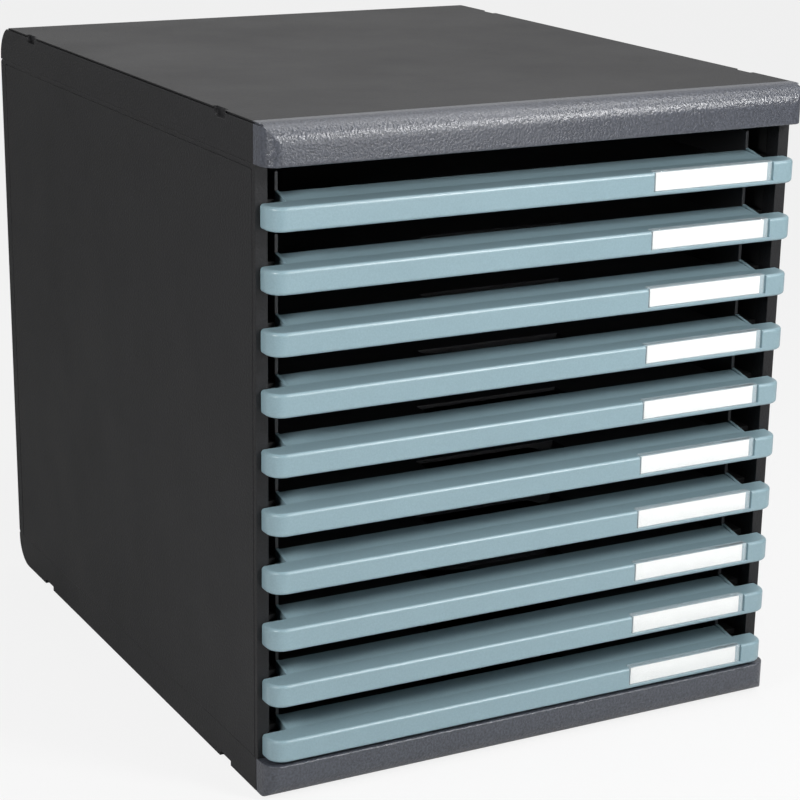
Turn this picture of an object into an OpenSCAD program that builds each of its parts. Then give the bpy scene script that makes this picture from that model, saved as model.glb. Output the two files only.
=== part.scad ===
// Desktop file cabinet with ten open drawers.
// Millimetres. X to the right, Y to the rear, Z up. The origin is on the table, under the
// centre of the outline seen from above.

/* [Cabinet] */
// Width over the side walls
cabinet_w = 288; // [270:1:310]
// Depth of the side walls, front face to rear face
cabinet_d = 345; // [335:1:380]
// Height of the base
base_h = 17.3; // [16.5:0.1:24]
// Height of the lid
lid_h = 18.9; // [18.4:0.1:26]
// Thickness of the lid's, the base's and the noses' walls
shell_t = 2.6; // [2:0.1:3.2]
// Width of a side wall's front strip
post_w = 6.2; // [5.4:0.1:8]
// Depth of a side wall's front and rear posts
post_d = 9; // [7:0.5:12]
// Thickness of a side wall between its posts
skin_t = 3; // [2:0.1:4]
// Radius of a side wall's two rear corners
wall_corner_r = 2.5; // [1:0.1:5]
// Thickness of the rear panel
rear_panel_t = 2.4; // [1.6:0.1:3.5]
// Radius of the lid's rear edge
lid_rear_r = 18; // [8:0.5:18]
// Radius of the base's rear edge
base_rear_r = 15; // [8:0.5:16]
// Thickness of the ribs under the base
base_rib_t = 2; // [1.5:0.1:3]
// Height of the ribs under the base
base_rib_h = 7; // [4:0.5:9]

/* [Noses] */
// How far the noses and the drawers' bars stand in front of the side walls
front_out = 12.5; // [11:0.1:16]
// Radius of a nose's outer long edge
nose_r = 10; // [7:0.5:11]
// Radius of a nose's upright corners
nose_corner_r = 8; // [5:0.5:11]
// Radius of a nose's edge towards the drawers
nose_edge_r = 1; // [0.5:0.1:1.6]
// How far a nose reaches behind the front faces of the side walls
nose_back = 2; // [1:0.1:4]
// Width and depth of the fine joint line round a nose
joint_line = 0.35; // [0.2:0.05:0.6]

/* [Lines and notches] */
// Width of the outline groove on a side wall
line_w = 0.5; // [0.3:0.1:1]
// Depth of the outline groove
line_depth = 0.5; // [0.3:0.1:1]
// Outline groove to the wall's front edge
line_front = 3.3; // [2.5:0.1:6]
// Outline groove to the wall's top edge
line_top = 2.3; // [1.5:0.1:6]
// Outline groove to the wall's rear edge
line_rear = 8; // [5:0.1:12]
// Radius of the outline groove's corners
line_r = 1.5; // [1:0.1:4]
// Thickness of the top plate's lip over its shadow gap
lip_t = 0.4; // [0.3:0.1:0.8]
// Height of the shadow gap under the lip
shadow_h = 0.9; // [0.6:0.1:1.4]
// Depth of the shadow gap
shadow_d = 1.2; // [0.6:0.1:1.6]
// Length of a stacking notch
notch_l = 12.9; // [8:0.1:20]
// Depth of a stacking notch into the side face
notch_d = 2; // [1:0.1:2]
// Height of a notch in the lid's upper edge
lid_notch_h = 4.2; // [3:0.1:6]
// Height of a notch in the base's lower edge
base_notch_h = 2.9; // [2:0.1:5]
// Front pair of notches, behind the side walls' front faces
notch_front = 31.8; // [20:0.1:60]
// Rear pair of notches, in front of the side walls' rear faces
notch_rear = 45.6; // [30:0.1:80]

/* [Drawers] */
// Height from one drawer to the next
drawer_pitch = 28.2; // [27:0.1:32]
// Height of a drawer's bar
bar_h = 11.3; // [11:0.1:13]
// Gap between the lowest bar and the base
bar_lift = 1.4; // [1:0.1:4]
// Gap between the highest bar and the lid
top_gap = 17.3; // [14:0.1:24]
// A bar's end to the cabinet's side face
bar_inset = 2.3; // [1:0.1:4]
// Radius of a bar's upright corners
bar_corner_r = 8; // [5:0.5:10]
// Radius of a bar's long edges
bar_edge_r = 1.6; // [0.8:0.1:2]
// Thickness of a bar's front wall
bar_front_t = 3.2; // [2.8:0.1:4]
// Thickness of a bar's top and rear walls
bar_wall_t = 2.2; // [1.6:0.1:2.6]
// Pockets under a bar
bar_pockets = 8; // [4:1:12]
// Gap between a closed bar and the side walls' front faces
bar_gap = 0.3; // [0.2:0.1:1]
// Thickness of a tray's walls
tray_wall_t = 1.8; // [1.2:0.1:2.4]
// Thickness of a tray's floor and runner flanges
tray_floor_t = 1.8; // [1.4:0.1:2]
// Tray floor below the bar's top
floor_drop = 4.2; // [3.8:0.1:5]
// Rear end of the ramp's end plates above the bar's top
rim_rise = 2.6; // [2:0.1:4]
// Length over which the ramp's end plates climb
rim_run = 12; // [8:0.5:16]
// Height that the ramp behind the bar gains
ramp_rise = 1.6; // [1:0.1:2.4]
// Length of the ramp
ramp_run = 13; // [10:0.5:18]
// Side and rear walls of a tray above the bar's top
wall_rise = 11; // [8:0.5:12]
// Gap between the drawer front and the tray that it sits on
seat_gap = 0.1; // [0.05:0.05:0.3]
// Gap between a closed tray and the rear panel
tray_rear_gap = 6.2; // [4:0.1:12]
// Width of the finger well in a tray's floor
well_w = 79; // [60:1:120]
// Rear face of the finger well, behind the side walls' front faces
well_rear = 40.5; // [34:0.5:60]
// Depth of the finger well below the tray's floor
well_depth = 4.4; // [2:0.1:4.6]
// Radius of the finger well's lower corners
well_r = 3; // [1:0.1:3.4]

/* [Runners] */
// How far a drawer pulls out
travel = 240; // [120:5:260]
// Gap under a runner flange
slide_gap = 0.25; // [0.15:0.05:0.5]
// Gap over a runner flange
lift_gap = 1.6; // [1.3:0.1:2]
// Gap between a runner flange's edge and the runner's wall
edge_gap = 0.8; // [0.5:0.1:1.5]
// Width of a runner flange
flange_w = 8; // [6:0.1:10]
// Gap between a runner rail's edge and the tray's wall
rail_gap = 1.2; // [0.6:0.1:2]
// Thickness of a runner rail
rail_t = 1.8; // [1.2:0.1:2.2]
// Length of a pull-out stop
stop_l = 3; // [2:0.5:5]
// Height of a pull-out stop
stop_h = 1.1; // [0.9:0.05:1.2]
// Gap left between the two stops of a drawer that is pulled right out
stop_gap = 0.3; // [0.1:0.1:1]
// Gap between the runners and the side walls' posts
runner_end_gap = 0.3; // [0.1:0.1:1]

/* [Labels] */
// Label pocket to the bar's right end
pocket_inset = 15.2; // [12:0.1:60]
// Length of the clear label window
window_l = 67.9; // [40:0.1:72]
// Finger gap at the window's right end
window_finger_gap = 1.4; // [0.8:0.1:3]
// Play between window and pocket
window_play = 0.2; // [0.1:0.05:0.4]
// Thickness of the clear label window
window_t = 1; // [0.8:0.1:1.2]
// How far the window stands out of the bar's front
window_proud = 0.2; // [0:0.1:0.5]
// Thickness of the window's flange on the bar's top
window_flange_t = 0.6; // [0.4:0.1:1]
// Length of the window's flange on the bar's top, from the bar's front
window_flange_l = 3.8; // [2.4:0.1:5]
// Depth of the label pocket
pocket_d = 1.6; // [1.2:0.1:1.8]
// Bar left under the label pocket
pocket_sill = 2.1; // [1.7:0.1:3]
// Length of the label card
card_l = 64.9; // [38:0.1:66]
// Thickness of the label card
card_t = 0.3; // [0.2:0.05:0.4]

/* [Feet] */
// Radius of a foot pad
foot_r = 9; // [6:0.5:12]
// Thickness of a foot pad
foot_t = 3; // [2:0.1:4]
// How far a foot pad stands below the base
foot_out = 1; // [0.6:0.1:1.6]
// Play round a foot pad
foot_play = 0.15; // [0.1:0.05:0.3]
// Thickness of the wall round a foot's socket
foot_socket_t = 2; // [1.5:0.1:3]
// Centre of a foot to the cabinet's side face
foot_side = 24; // [20:1:40]
// Centre of a foot to the side wall's front or rear face
foot_end = 34; // [32:1:60]

/* [Hidden] */
$fn = 64;
drawer_count = 10;
cut = 1;
charcoal = [0.20, 0.20, 0.215];
nose_charcoal = [0.27, 0.27, 0.29];
runner_black = [0.06, 0.06, 0.065];
drawer_blue = [0.47, 0.57, 0.60];
tray_black = [0.10, 0.10, 0.105];
window_clear = [0.92, 0.96, 0.98, 0.3];
card_white = [0.98, 0.98, 0.97];
foot_black = [0.09, 0.09, 0.09];

front_y = (front_out + window_proud - cabinet_d) / 2;
rear_y = front_y + cabinet_d;
half_w = cabinet_w / 2;
base_z = foot_out;
wall_z = base_z + base_h;
wall_h = bar_lift + bar_h + (drawer_count - 1) * drawer_pitch + top_gap;
lid_z = wall_z + wall_h;

post_x = half_w - post_w;
skin_x = half_w - skin_t;
nose_y = front_y - front_out;
nose_wall_end = front_y + nose_back;
inner_front = nose_wall_end + shell_t;

bar_half = half_w - bar_inset;
bar_rear = -bar_gap;
flange_x = post_x - edge_gap;
tray_x = flange_x - flange_w;
tray_in = tray_x - tray_wall_t;
tray_rear = cabinet_d - rear_panel_t - tray_rear_gap;
rail_x = tray_x + rail_gap;
well_floor_t = 1.6;
well_bottom = -floor_drop - well_depth - well_floor_t;

runner_front = front_y + post_d + runner_end_gap;
runner_rear = rear_y - post_d - runner_end_gap;
rail_low = -floor_drop - tray_floor_t - slide_gap;
rail_high = -floor_drop + lift_gap;

pocket_end = bar_half - pocket_inset;
window_end = pocket_end - window_finger_gap;
window_x = window_end - window_l;
pocket_x = window_x - window_play;
pocket_bottom = pocket_sill - bar_h;
window_back = -front_out - window_proud + window_t;
card_x = window_x + (window_l - card_l) / 2 - 0.4;

// Height of a bar's top face; drawer 1 is the highest
function bar_top(drawer) = lid_z - top_gap - (drawer - 1) * drawer_pitch;

// A Y-Z outline drawn out along X, centred on the cabinet's middle plane
module along_x(length) {
    translate([-length / 2, 0, 0])
        rotate([90, 0, 90])
            linear_extrude(length)
                children();
}

// An X-Z outline drawn out along Y, from y0 to y1
module along_y(y0, y1) {
    translate([0, y1, 0])
        rotate([90, 0, 0])
            linear_extrude(y1 - y0)
                children();
}

// A box between two corners
module block(low, high) {
    translate(low)
        cube(high - low);
}

// The same part on the left side
module on_left() {
    mirror([1, 0, 0])
        children();
}

// A rectangle from low to high with round corners
module rounded_rect(low, high, r) {
    translate(low + [r, 0])
        square(high - low - [2 * r, 0]);
    translate(low + [0, r])
        square(high - low - [0, 2 * r]);
    for (x = [low.x + r, high.x - r], y = [low.y + r, high.y - r])
        translate([x, y])
            circle(r);
}

// Y-Z outline with a round lower rear edge; the lid uses it upside down
module shell_outline(front, rear, height, r) {
    translate([front, 0])
        square([rear - r - front, height]);
    translate([front, r])
        square([rear - front, height - r]);
    translate([rear - r, r])
        intersection() {
            circle(r);
            translate([0, -r])
                square([r, r]);
        }
}

// Stacking notch at the bottom edge of the right side face, with a round rear end
module notch(y, height) {
    along_x_from(half_w - notch_d, half_w + cut)
        intersection() {
            translate([y, -cut])
                square([notch_l, height + cut]);
            union() {
                translate([y, -cut])
                    square([notch_l - height, height + cut]);
                translate([y + notch_l - height, 0])
                    circle(height);
            }
        }
}

// A Y-Z outline drawn out along X, from x0 to x1
module along_x_from(x0, x1) {
    translate([x0, 0, 0])
        rotate([90, 0, 90])
            linear_extrude(x1 - x0)
                children();
}

module notches(height) {
    for (y = [front_y + notch_front, rear_y - notch_rear - notch_l]) {
        notch(y, height);
        on_left() notch(y, height);
    }
}

// Y-Z outline of a nose, with its long round edge below; wall is its depth under the skin
module nose_outline(height, wall) {
    front = nose_y + wall;
    back = nose_wall_end + (wall > 0 ? cut : 0);
    r = nose_r - wall;
    edge = max(nose_edge_r - wall, 0.01);
    translate([front + r, wall])
        square([back - front - r, height - 2 * wall]);
    translate([front, nose_r])
        square([r, height - nose_r - wall - edge]);
    translate([front + edge, nose_r])
        square([r - edge, height - nose_r - wall]);
    translate([front + edge, height - wall - edge])
        circle(edge);
    intersection() {
        translate([front + r, nose_r])
            circle(r);
        translate([front, wall])
            square([r, r]);
    }
}

// X-Y outline of a nose, with round front corners
module nose_plan(wall) {
    back = nose_wall_end + (wall > 0 ? cut : 0);
    r = nose_corner_r - wall;
    half = half_w - wall;
    front = nose_y + wall;
    translate([-half, front + r])
        square([2 * half, back - front - r]);
    translate([r - half, front])
        square([2 * (half - r), back - front]);
    for (side = [-1, 1])
        translate([side * (half - r), front + r])
            circle(r);
}

module nose_solid(height, wall) {
    intersection() {
        along_x(cabinet_w - 2 * wall)
            nose_outline(height, wall);
        linear_extrude(height)
            nose_plan(wall);
    }
}

// Hollow nose standing on its round edge, with a fine joint line round its rear end
module nose(height) {
    difference() {
        nose_solid(height, 0);
        nose_solid(height, shell_t);
        difference() {
            block([-cabinet_w, nose_wall_end - joint_line, -cut], [cabinet_w, rear_y, height + cut]);
            block(
                [joint_line - half_w, front_y - front_out, joint_line],
                [half_w - joint_line, rear_y, height - joint_line]
            );
        }
    }
}

// Turns a part made standing on its upper face over, so that it sits on the side walls
module as_lid() {
    translate([0, 0, lid_z + lid_h])
        mirror([0, 0, 1])
            children();
}

// Shadow gap under the top plate's lip on the right side, seen upside down
module shadow_gap() {
    block([half_w - shadow_d, nose_y - cut, lip_t], [half_w + cut, rear_y + cut, lip_t + shadow_h]);
}

module shadow_gaps() {
    shadow_gap();
    on_left() shadow_gap();
}

module top_cover() {
    color(charcoal)
        as_lid()
            difference() {
                along_x(cabinet_w)
                    shell_outline(nose_wall_end, rear_y, lid_h, lid_rear_r);
                along_x(cabinet_w - 2 * shell_t)
                    translate([0, shell_t])
                        shell_outline(inner_front, rear_y - shell_t, lid_h, lid_rear_r - shell_t);
                shadow_gaps();
                notches(lid_notch_h);
            }
}

module top_nose() {
    color(nose_charcoal)
        as_lid()
            difference() {
                nose(lid_h);
                shadow_gaps();
            }
}

// Y-Z outline of the hollow under the base's top plate, open downwards
module base_hollow() {
    intersection() {
        translate([inner_front, -cut])
            square([cabinet_d, base_h - shell_t + cut]);
        union() {
            translate([inner_front, -cut])
                square([rear_y - base_rear_r - inner_front, base_h + cut]);
            translate([inner_front, base_rear_r])
                square([rear_y - shell_t - inner_front, base_h]);
            translate([rear_y - base_rear_r, base_rear_r])
                circle(base_rear_r - shell_t);
        }
    }
}

// Top plate of the base with its skirts
module base_shell() {
    difference() {
        along_x(cabinet_w)
            shell_outline(nose_wall_end, rear_y, base_h, base_rear_r);
        along_x(cabinet_w - 2 * shell_t)
            base_hollow();
    }
}

// Stiffening ribs across the underside of the base's top plate
module base_ribs() {
    low = base_h - shell_t - base_rib_h;
    for (y = [0.25, 0.5, 0.75])
        block(
            [shell_t / 2 - half_w, front_y + y * cabinet_d - base_rib_t / 2, low],
            [half_w - shell_t / 2, front_y + y * cabinet_d + base_rib_t / 2, base_h - shell_t / 2]
        );
}

module at_feet() {
    for (x = [foot_side - half_w, half_w - foot_side], y = [front_y + foot_end, rear_y - foot_end])
        translate([x, y, 0])
            children();
}

module base() {
    color(charcoal)
        translate([0, 0, base_z])
            difference() {
                union() {
                    base_shell();
                    base_ribs();
                    at_feet()
                        cylinder(h = base_h - shell_t / 2, r = foot_r + foot_play + foot_socket_t);
                }
                notches(base_notch_h);
                at_feet()
                    translate([0, 0, -cut])
                        cylinder(h = foot_t - foot_out + cut, r = foot_r + foot_play);
            }
}

module base_nose() {
    color(nose_charcoal)
        translate([0, 0, base_z])
            nose(base_h);
}

// Y-Z outline of a side wall, with round rear corners
module wall_outline() {
    translate([front_y, wall_z])
        square([cabinet_d - wall_corner_r, wall_h]);
    translate([front_y, wall_z + wall_corner_r])
        square([cabinet_d, wall_h - 2 * wall_corner_r]);
    for (z = [wall_z + wall_corner_r, lid_z - wall_corner_r])
        translate([rear_y - wall_corner_r, z])
            circle(wall_corner_r);
}

// Outline groove along the front, top and rear of the right side wall's outer face
module wall_line() {
    low = [front_y + line_front, wall_z - 2 * line_r - 2 * cut];
    high = [rear_y - line_rear, lid_z - line_top];
    half = [line_w / 2, line_w / 2];
    along_x_from(half_w - line_depth, half_w + cut)
        difference() {
            rounded_rect(low - half, high + half, line_r + line_w / 2);
            rounded_rect(low + half, high - half, line_r - line_w / 2);
        }
}

module side_wall() {
    difference() {
        along_x_from(post_x, half_w)
            wall_outline();
        block(
            [post_x - cut, front_y + post_d, wall_z - cut],
            [skin_x, rear_y - post_d, lid_z + cut]
        );
        block(
            [post_x - cut, rear_y - rear_panel_t, wall_z - cut],
            [skin_x, rear_y + cut, lid_z + cut]
        );
        wall_line();
    }
}

module right_side_wall() {
    color(charcoal)
        side_wall();
}

module left_side_wall() {
    color(charcoal)
        on_left() side_wall();
}

module rear_panel() {
    color(charcoal)
        block([-skin_x, rear_y - rear_panel_t, wall_z], [skin_x, rear_y, lid_z]);
}

// Pair of rails that guides one drawer's flange, with the stop at their front end
module rail_pair(drawer) {
    z = bar_top(drawer);
    block([rail_x, runner_front, z + rail_low - rail_t], [post_x, runner_rear, z + rail_low]);
    block([rail_x, runner_front, z + rail_high], [post_x, runner_rear, z + rail_high + rail_t]);
    block(
        [rail_x, runner_front, z + rail_high - stop_h],
        [post_x, runner_front + stop_l, z + rail_high]
    );
}

// Inner wall with the rails for all the drawers, on the right side
module runner() {
    block([post_x, runner_front, wall_z], [skin_x, runner_rear, lid_z]);
    for (drawer = [1:drawer_count])
        rail_pair(drawer);
}

module right_runner() {
    color(runner_black)
        runner();
}

module left_runner() {
    color(runner_black)
        on_left() runner();
}

// Upright section of the bar, from its outer face inwards; u is the depth behind that face
module bar_section(depth) {
    e = bar_edge_r;
    translate([e, -bar_h])
        square([depth - e, bar_h]);
    translate([0, e - bar_h])
        square([depth, bar_h - 2 * e]);
    for (z = [-e, e - bar_h])
        translate([e, z])
            circle(e);
}

// Right end of the bar: the round corner and the short return to the side wall
module bar_end() {
    r = bar_corner_r;
    centre = [bar_half - r, r - front_out];
    translate([centre.x, centre.y, 0])
        rotate([0, 0, -90])
            rotate_extrude(angle = 90)
                mirror([1, 0])
                    translate([-r, 0])
                        bar_section(r);
    along_y(centre.y, bar_rear)
        translate([bar_half, 0])
            mirror([1, 0])
                bar_section(r);
}

// Grip bar of a drawer front: solid outside, pockets underneath, and the label pocket in its face
module bar() {
    step = 2 * (bar_half - bar_corner_r) / bar_pockets;
    difference() {
        union() {
            along_x(2 * (bar_half - bar_corner_r))
                translate([-front_out, 0])
                    bar_section(front_out + bar_rear);
            bar_end();
            on_left() bar_end();
        }
        for (i = [0:bar_pockets - 1])
            block(
                [i * step - (bar_half - bar_corner_r) + bar_wall_t / 2, bar_front_t - front_out, -bar_h - cut],
                [(i + 1) * step - (bar_half - bar_corner_r) - bar_wall_t / 2, bar_rear - bar_wall_t, -bar_wall_t]
            );
        block(
            [pocket_x, -front_out - cut, pocket_bottom],
            [pocket_end, pocket_d - front_out, cut]
        );
    }
}

// Ramp behind the bar, with the wall under its rear end that closes the tray
module ramp() {
    t = bar_wall_t;
    along_x(2 * tray_in)
        polygon([
            [bar_rear - t, 0],
            [0, 0],
            [ramp_run, ramp_rise],
            [ramp_run, seat_gap - floor_drop],
            [ramp_run - tray_wall_t, seat_gap - floor_drop],
            [ramp_run - tray_wall_t, ramp_rise - t - tray_wall_t * ramp_rise / ramp_run],
            [0, -t],
            [bar_rear - t, -t]
        ]);
}

// End plate of the ramp on the right, which climbs towards the tray's side wall
module ramp_end() {
    low = seat_gap - floor_drop;
    along_x_from(tray_in, tray_x)
        polygon([
            [bar_rear - bar_wall_t, low],
            [bar_rear - bar_wall_t, 0],
            [0, 0],
            [rim_run, rim_rise],
            [rim_run, low]
        ]);
}

module drawer_front_body() {
    bar();
    ramp();
    ramp_end();
    on_left() ramp_end();
}

// Side wall of the tray on the right, stepped down under the ramp's end plate, with its flange
module tray_side() {
    low = -floor_drop - tray_floor_t;
    start = rim_run + seat_gap;
    along_x_from(tray_in, tray_x)
        polygon([
            [0, low],
            [0, -floor_drop],
            [start, -floor_drop],
            [start, wall_rise],
            [tray_rear, wall_rise],
            [tray_rear, low]
        ]);
    block([tray_x, 0, low], [flange_x, tray_rear, -floor_drop]);
    stop_y = runner_front - front_y + stop_l + travel + stop_gap;
    block([rail_x, stop_y, -floor_drop], [flange_x, stop_y + stop_l, stop_h - floor_drop]);
}

// X-Z outline of the finger well, grown by t
module well_outline(t) {
    half = well_w / 2 + t;
    low = -floor_drop - well_depth - t;
    intersection() {
        translate([-half, low])
            square([2 * half, well_depth + t]);
        rounded_rect([-half, low], [half, 2 * well_r], well_r + t);
    }
}

// Open tray behind the front
module drawer_tray_body() {
    low = -floor_drop - tray_floor_t;
    difference() {
        union() {
            tray_side();
            on_left() tray_side();
            block([-tray_in, ramp_run - tray_wall_t, low], [tray_in, tray_rear, -floor_drop]);
            block([-tray_in, tray_rear - tray_wall_t, low], [tray_in, tray_rear, wall_rise]);
            along_y(ramp_run - well_floor_t, well_rear + well_floor_t)
                well_outline(well_floor_t);
        }
        along_y(ramp_run, well_rear)
            union() {
                well_outline(0);
                translate([-well_w / 2, -floor_drop - cut])
                    square([well_w, 2 * cut]);
            }
    }
}

// Clear window in front of the label, with a flange over the bar's top edge
module label_window_body() {
    block(
        [window_x, -front_out - window_proud, pocket_bottom + window_play],
        [window_end, window_back, window_flange_t]
    );
    block([window_x, window_back, 0], [window_end, window_flange_l - front_out, window_flange_t]);
}

module label_card_body() {
    block(
        [card_x, window_back, pocket_bottom + window_play],
        [card_x + card_l, window_back + card_t, -window_play]
    );
}

// Place of a drawer: its bar's top face at height zero, the side walls' front at y = 0
module at_drawer(drawer) {
    translate([0, front_y, bar_top(drawer)])
        children();
}

module drawer_front(number) {
    color(drawer_blue)
        at_drawer(number)
            drawer_front_body();
}

module drawer_tray(number) {
    color(tray_black)
        at_drawer(number)
            drawer_tray_body();
}

module label_window(number) {
    color(window_clear)
        at_drawer(number)
            label_window_body();
}

module label_card(number) {
    color(card_white)
        at_drawer(number)
            label_card_body();
}

// Rubber pad in its socket; side is -1 or 1, end is -1 at the front and 1 at the rear
module foot(side, end) {
    y = end < 0 ? front_y + foot_end : rear_y - foot_end;
    color(foot_black)
        translate([side * (half_w - foot_side), y, 0])
            cylinder(h = foot_t, r = foot_r);
}

top_cover();
top_nose();
base();
base_nose();
left_side_wall();
right_side_wall();
left_runner();
right_runner();
rear_panel();
foot(-1, -1);  // foot_front_left
foot(1, -1);  // foot_front_right
foot(-1, 1);  // foot_rear_left
foot(1, 1);  // foot_rear_right
drawer_front(1);  // drawer_front_01
drawer_front(2);  // drawer_front_02
drawer_front(3);  // drawer_front_03
drawer_front(4);  // drawer_front_04
drawer_front(5);  // drawer_front_05
drawer_front(6);  // drawer_front_06
drawer_front(7);  // drawer_front_07
drawer_front(8);  // drawer_front_08
drawer_front(9);  // drawer_front_09
drawer_front(10);  // drawer_front_10
drawer_tray(1);  // drawer_tray_01
drawer_tray(2);  // drawer_tray_02
drawer_tray(3);  // drawer_tray_03
drawer_tray(4);  // drawer_tray_04
drawer_tray(5);  // drawer_tray_05
drawer_tray(6);  // drawer_tray_06
drawer_tray(7);  // drawer_tray_07
drawer_tray(8);  // drawer_tray_08
drawer_tray(9);  // drawer_tray_09
drawer_tray(10);  // drawer_tray_10
label_window(1);  // label_window_01
label_window(2);  // label_window_02
label_window(3);  // label_window_03
label_window(4);  // label_window_04
label_window(5);  // label_window_05
label_window(6);  // label_window_06
label_window(7);  // label_window_07
label_window(8);  // label_window_08
label_window(9);  // label_window_09
label_window(10);  // label_window_10
label_card(1);  // label_card_01
label_card(2);  // label_card_02
label_card(3);  // label_card_03
label_card(4);  // label_card_04
label_card(5);  // label_card_05
label_card(6);  // label_card_06
label_card(7);  // label_card_07
label_card(8);  // label_card_08
label_card(9);  // label_card_09
label_card(10);  // label_card_10
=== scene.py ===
"""Desktop file drawer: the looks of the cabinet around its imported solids.

Metres, +Z up, the drawers' fronts face -Y. Every piece is made at rest, in its own place.
"""

import logging
import math
from dataclasses import dataclass, field
from enum import Enum
from typing import Iterable, Mapping, Sequence

import bmesh
import bpy
import numpy as np
from mathutils import Matrix, Vector


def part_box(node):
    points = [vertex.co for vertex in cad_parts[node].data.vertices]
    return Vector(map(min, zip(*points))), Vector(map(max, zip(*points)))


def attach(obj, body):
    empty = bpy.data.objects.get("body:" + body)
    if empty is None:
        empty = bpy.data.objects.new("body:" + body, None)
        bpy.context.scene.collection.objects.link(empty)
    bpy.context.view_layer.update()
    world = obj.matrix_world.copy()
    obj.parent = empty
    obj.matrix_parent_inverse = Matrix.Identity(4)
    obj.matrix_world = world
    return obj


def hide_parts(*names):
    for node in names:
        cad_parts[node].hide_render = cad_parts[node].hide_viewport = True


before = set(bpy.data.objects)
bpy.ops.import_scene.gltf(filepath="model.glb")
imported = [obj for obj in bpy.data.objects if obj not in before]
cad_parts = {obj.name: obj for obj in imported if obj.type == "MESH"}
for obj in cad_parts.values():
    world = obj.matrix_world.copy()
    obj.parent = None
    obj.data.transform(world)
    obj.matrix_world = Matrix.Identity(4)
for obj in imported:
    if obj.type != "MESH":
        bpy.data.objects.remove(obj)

LOG = logging.getLogger("file_drawer")
MM = 0.001
DRAWER_COUNT = 10


class Slot(Enum):
    """The record's material slots."""

    CASE = "body_plastic"
    NOSE = "nose_plastic"
    RUNNER = "runner_plastic"
    DRAWER = "drawer_plastic"
    TRAY = "tray_plastic"
    WINDOW = "window_plastic"
    CARD = "card"
    FOOT = "foot_rubber"


# ---------------------------------------------------------------- colours and shader helpers


def linear(hex_colour: str) -> tuple[float, float, float, float]:
    """Turn an sRGB hex colour into the linear colour that a shader socket takes.

    Args:
        hex_colour: six hex digits, such as "3a3b3e".

    Returns:
        Linear red, green, blue and an alpha of 1.
    """
    channels = [int(hex_colour[i : i + 2], 16) / 255 for i in (0, 2, 4)]
    return (
        *[c / 12.92 if c <= 0.04045 else ((c + 0.055) / 1.055) ** 2.4 for c in channels],
        1.0,
    )


def add_node(
    tree: bpy.types.NodeTree,
    kind: str,
    settings: Mapping[str, object] | None = None,
    values: Mapping[str | int, object] | None = None,
    links: Mapping[str | int, bpy.types.NodeSocket] | None = None,
) -> bpy.types.Node:
    """Add one node to a shader tree, with its settings, socket values and incoming links.

    Args:
        tree: the material's or the world's node tree.
        kind: Blender's name of the node's type.
        settings: attributes of the node itself.
        values: input socket name or number to constant value.
        links: input socket name or number to the output socket that feeds it.

    Returns:
        The new node.
    """
    node = tree.nodes.new(kind)
    for key, value in (settings or {}).items():
        setattr(node, key, value)
    for key, value in (values or {}).items():
        node.inputs[key].default_value = value
    for key, source in (links or {}).items():
        tree.links.new(source, node.inputs[key])
    return node


def new_tree(name: str) -> tuple[bpy.types.Material, bpy.types.NodeTree]:
    """Make an empty node material.

    Args:
        name: the material's name.

    Returns:
        The material and its node tree, with no nodes in it.
    """
    material = bpy.data.materials.new(name)
    material.use_nodes = True
    material.node_tree.nodes.clear()
    return material, material.node_tree


def noise(tree: bpy.types.NodeTree, size_mm: float, detail: float) -> bpy.types.NodeSocket:
    """Add soft noise on the object's own coordinates.

    Args:
        tree: the material's node tree.
        size_mm: distance from one speck to the next.
        detail: how many finer layers the noise has.

    Returns:
        The noise's value, about 0.3 to 0.7.
    """
    place = add_node(tree, "ShaderNodeTexCoord").outputs["Object"]
    return add_node(
        tree,
        "ShaderNodeTexNoise",
        values={"Scale": 1 / (size_mm * MM), "Detail": detail, "Roughness": 0.55},
        links={"Vector": place},
    ).outputs["Fac"]


def spread(
    tree: bpy.types.NodeTree, value: bpy.types.NodeSocket, low: float, high: float
) -> bpy.types.NodeSocket:
    """Stretch a noise so that its usual range runs from low to high.

    Args:
        tree: the material's node tree.
        value: the noise.
        low: result where the noise is 0.3.
        high: result where the noise is 0.7.

    Returns:
        The stretched value.
    """
    return add_node(
        tree,
        "ShaderNodeMapRange",
        values={"From Min": 0.3, "From Max": 0.7, "To Min": low, "To Max": high},
        links={"Value": value},
    ).outputs["Result"]


# ---------------------------------------------------------------- finishes


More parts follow.
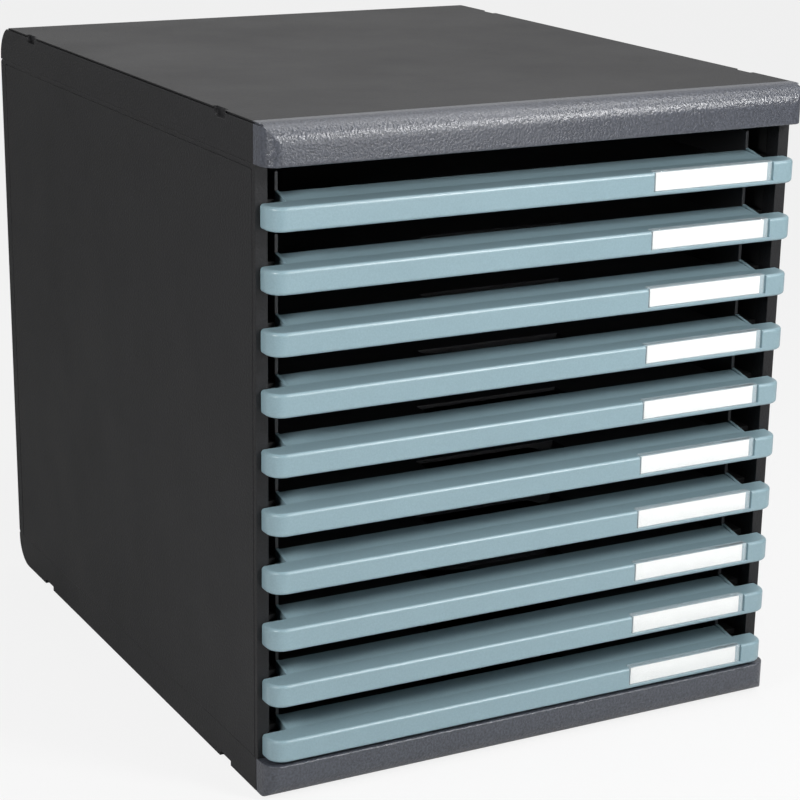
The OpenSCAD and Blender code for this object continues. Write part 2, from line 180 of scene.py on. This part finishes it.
@dataclass(frozen=True)
class MouldedPlastic:
    """An injection-moulded plastic with a spark-eroded grain.

    The grain gives the eye a broken, slightly sparkling sheen. The tone and the gloss drift
    softly over a few centimetres, as they do where the melt has flowed.
    """

    name: str
    colour: str
    roughness: float
    grain_mm: float
    grain_depth_mm: float
    grain_contrast: float = 0.10
    roughness_drift: float = 0.03
    tone_drift: float = 0.04
    drift_mm: float = 60.0
    ior: float = 1.59

    def make(self) -> bpy.types.Material:
        """Build the node material: grain as bump, speckle and drift on colour and gloss.

        Returns:
            The material.
        """
        material, tree = new_tree(self.name)
        grain = noise(tree, self.grain_mm, 2.0)
        drift = noise(tree, self.drift_mm, 3.0)
        bump = add_node(
            tree,
            "ShaderNodeBump",
            values={"Strength": 1.0, "Distance": self.grain_depth_mm * MM},
            links={"Height": grain},
        ).outputs["Normal"]
        speckle = spread(tree, grain, 1 - self.grain_contrast, 1 + self.grain_contrast)
        slow = spread(tree, drift, 1 - self.tone_drift, 1 + self.tone_drift)
        tone = add_node(tree, "ShaderNodeMath", {"operation": "MULTIPLY"}, links={0: speckle, 1: slow})
        colour = add_node(
            tree,
            "ShaderNodeVectorMath",
            {"operation": "SCALE"},
            {0: linear(self.colour)[:3]},
            {"Scale": tone.outputs[0]},
        )
        gloss = spread(
            tree,
            drift,
            self.roughness - self.roughness_drift,
            self.roughness + self.roughness_drift,
        )
        shader = add_node(
            tree,
            "ShaderNodeBsdfPrincipled",
            values={"IOR": self.ior},
            links={"Base Color": colour.outputs["Vector"], "Roughness": gloss, "Normal": bump},
        )
        add_node(tree, "ShaderNodeOutputMaterial", links={"Surface": shader.outputs[0]})
        return material


@dataclass(frozen=True)
class ClearPlastic:
    """A clear moulded window: the card shows through, and a thin gloss lies over it."""

    name: str
    colour: str
    veil: float
    roughness: float
    ripple_mm: float
    ripple_depth_mm: float

    def make(self) -> bpy.types.Material:
        """Build the node material: a faint veil of colour under a gloss with a slight ripple.

        Returns:
            The material.
        """
        material, tree = new_tree(self.name)
        ripple = noise(tree, self.ripple_mm, 1.0)
        bump = add_node(
            tree,
            "ShaderNodeBump",
            values={"Strength": 1.0, "Distance": self.ripple_depth_mm * MM},
            links={"Height": ripple},
        ).outputs["Normal"]
        gloss = spread(tree, ripple, self.roughness * 0.8, self.roughness * 1.2)
        shader = add_node(
            tree,
            "ShaderNodeBsdfPrincipled",
            values={"Base Color": linear(self.colour), "Alpha": self.veil, "IOR": 1.52},
            links={"Roughness": gloss, "Normal": bump},
        )
        add_node(tree, "ShaderNodeOutputMaterial", links={"Surface": shader.outputs[0]})
        return material


@dataclass(frozen=True)
class CardPaper:
    """Smooth white index card: matt, with a faint mottle of fibres."""

    name: str
    colour: str
    fibre_mm: float
    mottle: float

    def make(self) -> bpy.types.Material:
        """Build the node material: fibres stretched along the card, as tone and slight relief.

        Returns:
            The material.
        """
        material, tree = new_tree(self.name)
        fibre = noise(tree, self.fibre_mm, 3.0)
        tone = spread(tree, fibre, 1 - self.mottle, 1.0)
        colour = add_node(
            tree,
            "ShaderNodeVectorMath",
            {"operation": "SCALE"},
            {0: linear(self.colour)[:3]},
            {"Scale": tone},
        )
        bump = add_node(
            tree,
            "ShaderNodeBump",
            values={"Strength": 0.5, "Distance": 0.02 * MM},
            links={"Height": fibre},
        ).outputs["Normal"]
        shader = add_node(
            tree,
            "ShaderNodeBsdfPrincipled",
            values={"Roughness": 0.85, "IOR": 1.45},
            links={"Base Color": colour.outputs["Vector"], "Normal": bump},
        )
        add_node(tree, "ShaderNodeOutputMaterial", links={"Surface": shader.outputs[0]})
        return material


# Near-black case: a broad dull sheen at a low angle, almost none seen straight on. The index is
# under polystyrene's 1.59, since the grain swallows much of the straight reflection.
CASE_GRAIN = MouldedPlastic(
    "case_fine_grain_polystyrene", "1a1a1c", 0.50, 1.1, 0.24, grain_contrast=0.3, ior=1.43
)
# Charcoal noses: glossier than the case, with a speckled band of light along the rounding.
NOSE_GRAIN = MouldedPlastic(
    "nose_satin_grain_polystyrene", "484b53", 0.30, 1.2, 0.32, grain_contrast=0.34
)
# Grey blue fronts: an even satin face with a crisp light line on the upper edge.
DRAWER_GRAIN = MouldedPlastic(
    "drawer_satin_polystyrene", "8ba5ae", 0.32, 0.8, 0.04, grain_contrast=0.05, tone_drift=0.02
)
# Black trays: a shade lighter than the runners, so that the finger wells can be told apart.
TRAY_PLAIN = MouldedPlastic("tray_matt_polystyrene", "303134", 0.5, 0.8, 0.03)
# Runners painted near-black, darker than the case: painted shade, so that nearly no light comes back from
# inside the case.
RUNNER_SHADE_BLACK = MouldedPlastic("runner_painted_shade_polystyrene", "161617", 0.6, 0.8, 0.02)
# Rubber pads: dull, and slightly rough.
FOOT_RUBBER = MouldedPlastic("foot_soft_rubber", "1c1c1c", 0.8, 0.6, 0.03)
# Windows: a faint cold veil and a thin gloss over the card.
WINDOW_CLEAR = ClearPlastic("window_clear_polystyrene", "f4f8fa", 0.16, 0.08, 14.0, 0.01)
# Cards: plain bright white, without a sheen.
CARD_WHITE = CardPaper("label_index_card", "fcfcfa", 0.5, 0.015)


# ---------------------------------------------------------------- shapes from formulas


def rounded_outline(
    corners: Sequence[tuple[float, float]], radius: float, steps: int = 3
) -> tuple[np.ndarray, np.ndarray]:
    """Round every corner of a closed outline that runs anticlockwise.

    Each corner becomes an arc of the radius, tangent to both its sides: the arc's centre lies
    on the corner's bisector, and its points turn evenly from one side's normal to the next
    side's. Inner corners turn the other way round in the same formula.

    Args:
        corners: the outline's corners.
        radius: the arcs' radius, in the corners' units.
        steps: stretches in each arc.

    Returns:
        The outline's points and its outward unit normals there.
    """
    points = np.array(corners, float)
    into = points - np.roll(points, 1, axis=0)
    into /= np.linalg.norm(into, axis=1, keepdims=True)
    away = np.roll(into, -1, axis=0)
    before = np.stack([into[:, 1], -into[:, 0]], axis=1)
    after = np.stack([away[:, 1], -away[:, 0]], axis=1)
    turn = np.arctan2(
        into[:, 0] * away[:, 1] - into[:, 1] * away[:, 0], (into * away).sum(axis=1)
    )
    sign = np.sign(turn)[:, None]
    centre = points - sign * radius * (before + after) / (1 + (before * after).sum(axis=1))[:, None]
    angle = np.arctan2(before[:, 1], before[:, 0])[:, None] + turn[:, None] * np.linspace(0, 1, steps + 1)
    normal = np.stack([np.cos(angle), np.sin(angle)], axis=2)
    arc = centre[:, None] + sign[:, None] * radius * normal
    return arc.reshape(-1, 2), normal.reshape(-1, 2)


def grid_faces(rings: int, points: int) -> np.ndarray:
    """Join neighbouring rings of points by quads, each ring closed on itself.

    Args:
        rings: how many rings there are.
        points: how many points each ring has.

    Returns:
        Rows of four vertex numbers.
    """
    ring = np.arange(rings - 1)[:, None] * points
    here = np.arange(points)[None, :]
    beside = (here + 1) % points
    quads = np.stack([ring + here, ring + beside, ring + points + beside, ring + points + here], axis=2)
    return quads.reshape(-1, 4)


def mesh_object(name: str, points: np.ndarray, faces: list[list[int]]) -> bpy.types.Object:
    """Make a smooth-shaded object from points and faces.

    Args:
        name: the object's name.
        points: rows of x, y, z in metres.
        faces: vertex numbers of each face.

    Returns:
        The object, linked to the scene, with its faces turned outwards.
    """
    mesh = bpy.data.meshes.new(name)
    mesh.from_pydata(points.tolist(), [], faces)
    shape = bmesh.new()
    shape.from_mesh(mesh)
    bmesh.ops.recalc_face_normals(shape, faces=shape.faces)
    shape.to_mesh(mesh)
    shape.free()
    mesh.shade_smooth()
    piece = bpy.data.objects.new(name, mesh)
    bpy.context.scene.collection.objects.link(piece)
    return piece


def rounded_bar(
    name: str,
    outline: np.ndarray,
    normals: np.ndarray,
    ends: tuple[float, float],
    radius: float,
    bow: float = 0.0,
) -> bpy.types.Object:
    """Carry a Y-Z outline along X, with its two ends rounded by a quarter circle.

    At an angle t from 0 to 90 degrees the ring lies radius * (1 - sin t) inside the end and is
    drawn in along its normals by radius * (1 - cos(90 - t)). A bow moves the middle of the
    length by that much in Y, as a parabola.

    Args:
        name: the object's name.
        outline: the outline's points, in metres.
        normals: its outward normals.
        ends: x of the two ends.
        radius: the ends' rounding.
        bow: how far the middle bows to the rear.

    Returns:
        The closed piece.
    """
    t = np.linspace(0, np.pi / 2, 4)
    from_end, drawn_in = radius * (1 - np.sin(t[::-1])), radius * (1 - np.cos(t[::-1]))
    middle = np.linspace(ends[0] + radius, ends[1] - radius, 9)[1:-1]
    x = np.concatenate([ends[0] + from_end, middle, ends[1] - from_end[::-1]])
    inset = np.concatenate([drawn_in, 0 * middle, drawn_in[::-1]])
    half = (ends[1] - ends[0]) / 2
    sway = bow * (1 - ((x - ends[0] - half) / half) ** 2)
    ring = outline[None] - inset[:, None, None] * normals[None]
    points = np.concatenate(
        [np.broadcast_to(x[:, None, None], ring.shape[:2] + (1,)), ring + sway[:, None, None] * [1, 0]],
        axis=2,
    )
    count = len(outline)
    faces = grid_faces(len(x), count).tolist()
    faces += [list(range(count)), list(range((len(x) - 1) * count, len(x) * count))]
    return mesh_object(name, points.reshape(-1, 3), faces)


def turned(name: str, profile: np.ndarray, centre: Sequence[float], steps: int = 48) -> bpy.types.Object:
    """Turn a profile about an upright axis: (r, z) becomes (r cos a, r sin a, z) about the centre.

    Args:
        name: the object's name.
        profile: rows of radius and height, in metres, from the axis below to the axis above.
        centre: x and y of the axis.
        steps: points round the axis.

    Returns:
        The closed piece.
    """
    angle = np.linspace(0, 2 * np.pi, steps, endpoint=False)
    radius, height = profile[1:-1, 0][:, None], profile[1:-1, 1][:, None]
    rings = np.stack(
        [
            centre[0] + radius * np.cos(angle),
            centre[1] + radius * np.sin(angle),
            np.broadcast_to(height, (len(radius), steps)),
        ],
        axis=2,
    ).reshape(-1, 3)
    poles = np.array([[*centre[:2], profile[0, 1]], [*centre[:2], profile[-1, 1]]])
    points = np.concatenate([rings, poles])
    low, high = len(rings), len(rings) + 1
    last = len(rings) - steps
    around = np.arange(steps)
    beside = (around + 1) % steps
    faces = grid_faces(len(radius), steps).tolist()
    faces += np.stack([np.full(steps, low), beside, around], axis=1).tolist()
    faces += np.stack([np.full(steps, high), last + around, last + beside], axis=1).tolist()
    return mesh_object(name, points, faces)


# ---------------------------------------------------------------- softened mouldings


def reach(face: bmesh.types.BMFace, edge: bmesh.types.BMEdge) -> float:
    """Find how far a face reaches from one of its edges.

    Args:
        face: the face.
        edge: an edge of the face.

    Returns:
        The greatest distance of a corner of the face from the edge's line.
    """
    start = edge.verts[0].co
    along = (edge.verts[1].co - start).normalized()
    return max(((v.co - start) - along * (v.co - start).dot(along)).length for v in face.verts)


@dataclass(frozen=True)
class EdgeSoftening:
    """The small radius that a mould leaves on every sharp edge, less where a face is narrow.

    A shallow crease between two wide faces gets no radius, and stays crisp in the shading.
    """

    radius_mm: float = 0.3
    sharp_degrees: float = 32.0
    share_of_face: float = 0.38
    growth: float = 1.35
    least: float = 0.04
    segments: int = 2
    crease_degrees: float = 3.0
    crease_reach_mm: float = 2.0
    smoothing_rounds: int = 8
    join_mm: float = 0.001
    flat_degrees: float = 0.3
    normal_weight: int = 60

    def weigh(self, shape: bmesh.types.BMesh) -> None:
        """Give each sharp edge its share of the radius, changing slowly from edge to edge.

        Args:
            shape: the merged moulding.
        """
        layer = shape.edges.layers.float.new("bevel_weight_edge")
        limit = math.radians(self.sharp_degrees)
        sharp = [e for e in shape.edges if e.is_manifold and e.calc_face_angle(0) > limit]
        for edge in sharp:
            room = min(reach(face, edge) for face in edge.link_faces)
            edge[layer] = min(1.0, self.share_of_face * room / (self.radius_mm * MM))
        for _ in range(self.smoothing_rounds):
            low: dict[bmesh.types.BMVert, float] = {}
            for edge in sharp:
                for vert in edge.verts:
                    low[vert] = min(low.get(vert, 1.0), edge[layer])
            for edge in sharp:
                edge[layer] = min(edge[layer], self.growth * min(low[v] for v in edge.verts))
        for edge in sharp:
            if edge[layer] < self.least:
                edge[layer] = 0.0

    def crease(self, shape: bmesh.types.BMesh) -> None:
        """Keep the shallow creases between wide faces sharp in the shading.

        Args:
            shape: the merged moulding.
        """
        least, most = math.radians(self.crease_degrees), math.radians(self.sharp_degrees)
        for edge in shape.edges:
            if edge.is_manifold and least < edge.calc_face_angle(0) <= most:
                wide = min(reach(face, edge) for face in edge.link_faces) > self.crease_reach_mm * MM
                edge.smooth = not wide

    def copy_of(self, node: str, name: str) -> bpy.types.Object:
        """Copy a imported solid, merge its loose triangles and round its sharp edges.

        Args:
            node: the solid's name.
            name: the new piece's name.

        Returns:
            The softened piece, which stands for the solid.
        """
        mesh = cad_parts[node].data.copy()
        mesh.name = name
        shape = bmesh.new()
        shape.from_mesh(mesh)
        bmesh.ops.remove_doubles(shape, verts=shape.verts, dist=self.join_mm * MM)
        bmesh.ops.dissolve_limit(
            shape, angle_limit=math.radians(self.flat_degrees), verts=shape.verts, edges=shape.edges
        )
        self.weigh(shape)
        self.crease(shape)
        shape.to_mesh(mesh)
        shape.free()
        mesh.shade_smooth()
        piece = bpy.data.objects.new(name, mesh)
        bpy.context.scene.collection.objects.link(piece)
        bevel = piece.modifiers.new("mould_radius", "BEVEL")
        bevel.limit_method = "WEIGHT"
        bevel.width = self.radius_mm * MM
        bevel.segments = self.segments
        bevel.use_clamp_overlap = False
        normals = piece.modifiers.new("flat_faces_stay_flat", "WEIGHTED_NORMAL")
        normals.weight = self.normal_weight
        normals.keep_sharp = True
        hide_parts(node)
        return piece


def place(piece: bpy.types.Object, material: bpy.types.Material, body: str, slot: Slot) -> None:
    """Dress a new piece, and tie it to its body.

    Args:
        piece: the new piece.
        material: its finish.
        body: the body that it moves with.
        slot: not used.
    """
    piece.data.materials.clear()
    piece.data.materials.append(material)
    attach(piece, body)
    LOG.info("%s rides on %s in %s", piece.name, body, material.name)


def dress(nodes: Iterable[str], material: bpy.types.Material) -> None:
    """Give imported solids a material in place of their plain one.

    Args:
        nodes: names of the solids.
        material: the finish that they show.
    """
    for name in nodes:
        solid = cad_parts[name]
        solid.data.materials.clear()
        solid.data.materials.append(material)
        LOG.info("%s is dressed in %s", name, material.name)


# ---------------------------------------------------------------- sub-assemblies


@dataclass(frozen=True)
class Case:
    """Lid, base, side walls and the two noses, with the inner mouldings behind them."""

    shell_nodes: tuple[str, ...] = ("top_cover", "base", "left_side_wall", "right_side_wall")
    nose_nodes: tuple[str, ...] = ("top_nose", "base_nose")
    runner_nodes: tuple[str, ...] = ("left_runner", "right_runner")
    rear_nodes: tuple[str, ...] = ("rear_panel",)
    softening: EdgeSoftening = EdgeSoftening()

    def make(self) -> None:
        """Build the softened shells and noses, and dress the hidden mouldings."""
        case, nose = CASE_GRAIN.make(), NOSE_GRAIN.make()
        for node in self.shell_nodes:
            place(self.softening.copy_of(node, node + "_moulding"), case, "cabinet", Slot.CASE)
        for node in self.nose_nodes:
            place(self.softening.copy_of(node, node + "_moulding"), nose, "cabinet", Slot.NOSE)
        dress(self.rear_nodes, case)
        # The runners wear a near-black painted shade, darker than the case moulding.
        dress(self.runner_nodes, RUNNER_SHADE_BLACK.make())


@dataclass(frozen=True)
class FootPads:
    """Four turned rubber pads with a rounded rim and two fine rings in the sole."""

    rim_mm: float = 0.5
    ring_radii_mm: tuple[float, ...] = (4.0, 6.5)
    ring_half_mm: float = 0.3
    ring_depth_mm: float = 0.3

    def profile(self, radius: float, height: float) -> np.ndarray:
        """Work out a pad's half section: sole with two rings, round rim, side and top.

        The rim is a quarter circle at the sole and another at the top; a ring is a shallow
        V cut to its depth in the middle.

        Args:
            radius: the pad's radius in metres.
            height: the pad's height in metres.

        Returns:
            Rows of radius and height, from the axis at the sole to the axis at the top.
        """
        rim = self.rim_mm * MM
        turn = np.linspace(-np.pi / 2, 0, 5)
        low = np.stack([radius - rim + rim * np.cos(turn), rim + rim * np.sin(turn)], axis=1)
        high = low[::-1] * [1, -1] + [0, height]
        rings = np.array(
            [
                (r + side * self.ring_half_mm, self.ring_depth_mm * (side == 0))
                for r in self.ring_radii_mm
                for side in (-1, 0, 1)
            ]
        )
        return np.concatenate([[[0, 0]], rings * MM, low, high, [[0, height]]])

    def make(self) -> None:
        """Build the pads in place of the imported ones."""
        rubber = FOOT_RUBBER.make()
        for node in sorted(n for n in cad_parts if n.startswith("foot_")):
            low, high = (np.array(corner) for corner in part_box(node))
            centre, size = (low + high) / 2, high - low
            profile = self.profile(size[0] / 2, size[2]) + [0, low[2]]
            pad = turned(node + "_pad", profile, centre)
            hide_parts(node)
            place(pad, rubber, "cabinet", Slot.FOOT)


@dataclass(frozen=True)
class LabelWindow:
    """Clear window with a flange over the bar's top edge, and the card behind it."""

    wall_mm: float = 1.0
    flange_mm: float = 0.6
    corner_mm: float = 0.22
    card_corner_mm: float = 0.1
    card_bow_mm: float = 0.12

    def make_window(self, number: int, material: bpy.types.Material) -> None:
        """Build one window: an L-shaped outline carried along X.

        Args:
            number: the drawer's number from the top.
            material: the window's finish.
        """
        node = f"label_window_{number:02d}"
        low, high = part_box(node)
        wall, flange = low[1] + self.wall_mm * MM, high[2] - self.flange_mm * MM
        outline, normals = rounded_outline(
            [
                (low[1], low[2]),
                (wall, low[2]),
                (wall, flange),
                (high[1], flange),
                (high[1], high[2]),
                (low[1], high[2]),
            ],
            self.corner_mm * MM,
        )
        window = rounded_bar(node + "_clear", outline, normals, (low[0], high[0]), self.corner_mm * MM)
        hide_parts(node)
        place(window, material, f"drawer_{number:02d}", Slot.WINDOW)

    def make_card(self, number: int, material: bpy.types.Material) -> None:
        """Build one card: a thin rounded outline carried along X, bowed a little to the rear.

        Args:
            number: the drawer's number from the top.
            material: the card's finish.
        """
        node = f"label_card_{number:02d}"
        low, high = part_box(node)
        outline, normals = rounded_outline(
            [(low[1], low[2]), (high[1], low[2]), (high[1], high[2]), (low[1], high[2])],
            self.card_corner_mm * MM,
        )
        card = rounded_bar(
            node + "_paper",
            outline,
            normals,
            (low[0], high[0]),
            self.card_corner_mm * MM,
            self.card_bow_mm * MM,
        )
        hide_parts(node)
        place(card, material, f"drawer_{number:02d}", Slot.CARD)


@dataclass(frozen=True)
class DrawerStack:
    """The ten drawers, each with its grip bar and ramp, tray, label window and card."""

    count: int = DRAWER_COUNT
    softening: EdgeSoftening = EdgeSoftening()
    label: LabelWindow = field(default_factory=LabelWindow)

    def make(self) -> None:
        """Build the drawers from the top down."""
        plastic, black = DRAWER_GRAIN.make(), TRAY_PLAIN.make()
        clear, paper = WINDOW_CLEAR.make(), CARD_WHITE.make()
        for number in range(1, self.count + 1):
            body = f"drawer_{number:02d}"
            front, tray = f"drawer_front_{number:02d}", f"drawer_tray_{number:02d}"
            place(self.softening.copy_of(front, front + "_moulding"), plastic, body, Slot.DRAWER)
            place(self.softening.copy_of(tray, tray + "_moulding"), black, body, Slot.TRAY)
            self.label.make_window(number, clear)
            self.label.make_card(number, paper)


# ---------------------------------------------------------------- studio


@dataclass(frozen=True)
class Lamp:
    """One rectangular studio lamp, aimed at a point."""

    name: str
    place: tuple[float, float, float]
    target: tuple[float, float, float]
    size: tuple[float, float]
    watts: float

    def make(self) -> None:
        """Add the lamp to the scene."""
        data = bpy.data.lights.new(self.name, "AREA")
        data.shape = "RECTANGLE"
        data.size, data.size_y = self.size
        data.energy = self.watts
        lamp = bpy.data.objects.new(self.name, data)
        lamp.location = self.place
        aim = Vector(self.target) - Vector(self.place)
        lamp.rotation_euler = aim.to_track_quat("-Z", "Y").to_euler()
        bpy.context.scene.collection.objects.link(lamp)


@dataclass(frozen=True)
class Glow:
    """A soft patch of the white surround: brightest towards one side, fading all round it."""

    towards: tuple[float, float, float]
    tightness: float
    strength: float


@dataclass(frozen=True)
class Studio:
    """Pale floor, white surround, soft lamps and the camera at the photograph's angle."""

    camera_place: tuple[float, float, float] = (-0.5387, -1.0365, 0.4852)
    camera_azimuth: float = 27.842
    camera_elevation: float = 17.882
    camera_roll: float = 0.776
    lens_mm: float = 100.18
    shift: tuple[float, float] = (0.0205, 0.0505)
    floor_half: float = 6.0
    floor_tone: float = 0.65
    floor_white_share: float = 0.85
    glossy_white: float = 0.08
    glows: tuple[Glow, ...] = (
        Glow((0.0, 1.0, 0.25), 3.0, 0.62),
        Glow((-0.8, 0.6, 0.1), 4.0, 0.2),
        Glow((0.6, 0.6, 0.6), 5.0, 0.35),
    )
    lamps: tuple[Lamp, ...] = (
        Lamp("key", (0.55, -0.95, 0.86), (0.0, -0.05, 0.16), (0.25, 0.25), 8.8),
        Lamp("overhead", (0.0, -0.1, 0.75), (0.0, -0.12, 0.3), (0.5, 0.3), 1.1),
        Lamp("low_front", (0.2, -2.0, 0.35), (0.0, -0.05, 0.16), (1.0, 0.6), 3.0),
        Lamp("near_front", (0.12, -0.60, 0.33), (0.03, -0.18, 0.25), (0.12, 0.12), 0.42),
        Lamp("nose_band", (0.47, -0.33, 1.05), (0.0, -0.17, 0.31), (0.35, 0.25), 2.4),
        Lamp("left_side", (-0.62, -0.42, 0.45), (-0.144, -0.05, 0.2), (0.2, 0.2), 2.4),
    )

    def white_share(self, tree: bpy.types.NodeTree, most: float) -> bpy.types.NodeSocket:
        """Find how much of the plain white a ray sees in place of the lit surround or floor.

        Camera and transmission rays see it in full, and glossy rays a little of it, so that the
        background shows in glossy surfaces without lighting them.

        Args:
            tree: the world's or the floor's node tree.
            most: the share that the camera sees.

        Returns:
            The share of white, from 0 to most.
        """
        path = add_node(tree, "ShaderNodeLightPath").outputs
        straight = add_node(
            tree,
            "ShaderNodeMath",
            {"operation": "ADD"},
            links={0: path["Is Camera Ray"], 1: path["Is Transmission Ray"]},
        )
        seen = add_node(
            tree,
            "ShaderNodeMath",
            {"operation": "MULTIPLY_ADD"},
            {1: self.glossy_white},
            {0: path["Is Glossy Ray"], 2: straight.outputs[0]},
        )
        return add_node(
            tree,
            "ShaderNodeMath",
            {"operation": "MULTIPLY", "use_clamp": True},
            {1: most},
            {0: seen.outputs[0]},
        ).outputs[0]

    def make_world(self) -> None:
        """Set the surround: the camera sees white, and the glows light the object softly.

        A glow's light from a direction is its strength times the cosine between the two, cut
        off at zero and raised to its tightness.
        """
        world = bpy.data.worlds.new("studio_surround")
        world.use_nodes = True
        tree = world.node_tree
        tree.nodes.clear()
        direction = add_node(tree, "ShaderNodeTexCoord").outputs["Generated"]
        total = add_node(tree, "ShaderNodeValue").outputs[0]
        total.default_value = 0.0
        for glow in self.glows:
            facing = add_node(
                tree,
                "ShaderNodeVectorMath",
                {"operation": "DOT_PRODUCT"},
                {1: Vector(glow.towards).normalized()},
                {0: direction},
            )
            lit = add_node(
                tree, "ShaderNodeMath", {"operation": "MAXIMUM"}, {1: 0.0}, {0: facing.outputs["Value"]}
            )
            faded = add_node(
                tree, "ShaderNodeMath", {"operation": "POWER"}, {1: glow.tightness}, {0: lit.outputs[0]}
            )
            total = add_node(
                tree,
                "ShaderNodeMath",
                {"operation": "MULTIPLY_ADD"},
                {1: glow.strength},
                {0: faded.outputs[0], 2: total},
            ).outputs[0]
        seen = add_node(tree, "ShaderNodeBackground", values={"Color": (1, 1, 1, 1), "Strength": 1.0})
        light = add_node(
            tree, "ShaderNodeBackground", values={"Color": (1, 1, 1, 1)}, links={"Strength": total}
        )
        mix = add_node(
            tree,
            "ShaderNodeMixShader",
            links={0: self.white_share(tree, 1.0), 1: light.outputs[0], 2: seen.outputs[0]},
        )
        add_node(tree, "ShaderNodeOutputWorld", links={"Surface": mix.outputs[0]})
        bpy.context.scene.world = world

    def make_floor(self) -> None:
        """Lay the pale floor under the feet; it keeps a soft shadow."""
        half = self.floor_half
        mesh = bpy.data.meshes.new("floor")
        mesh.from_pydata(
            [(-half, -half, 0), (half, -half, 0), (half, half, 0), (-half, half, 0)],
            [],
            [(0, 1, 2, 3)],
        )
        material, tree = new_tree("pale_floor")
        matt = add_node(
            tree, "ShaderNodeBsdfDiffuse", values={"Color": (*[self.floor_tone] * 3, 1.0)}
        )
        glow = add_node(tree, "ShaderNodeEmission", values={"Color": (1, 1, 1, 1), "Strength": 1.0})
        mix = add_node(
            tree,
            "ShaderNodeMixShader",
            links={
                0: self.white_share(tree, self.floor_white_share),
                1: matt.outputs[0],
                2: glow.outputs[0],
            },
        )
        add_node(tree, "ShaderNodeOutputMaterial", links={"Surface": mix.outputs[0]})
        mesh.materials.append(material)
        floor = bpy.data.objects.new("floor", mesh)
        bpy.context.scene.collection.objects.link(floor)

    def make_camera(self) -> None:
        """Place the camera and make it the scene's own."""
        data = bpy.data.cameras.new("camera")
        data.lens = self.lens_mm
        data.sensor_width = 36
        data.shift_x, data.shift_y = self.shift
        data.clip_end = 50
        camera = bpy.data.objects.new("camera", data)
        turn = (
            Matrix.Rotation(-math.radians(self.camera_azimuth), 4, "Z")
            @ Matrix.Rotation(math.radians(90 - self.camera_elevation), 4, "X")
            @ Matrix.Rotation(math.radians(self.camera_roll), 4, "Z")
        )
        camera.matrix_world = Matrix.Translation(self.camera_place) @ turn
        bpy.context.scene.collection.objects.link(camera)
        bpy.context.scene.camera = camera

    def make(self) -> None:
        """Build the whole studio."""
        self.make_world()
        self.make_floor()
        self.make_camera()
        for lamp in self.lamps:
            lamp.make()


def main() -> None:
    """Build the cabinet's pieces in order and light them."""
    logging.basicConfig(level=logging.INFO, format="%(message)s")
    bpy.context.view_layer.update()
    bpy.context.scene.view_settings.view_transform = "Standard"
    for assembly in (Case(), FootPads(), DrawerStack(), Studio()):
        assembly.make()


if __name__ == "__main__":
    main()
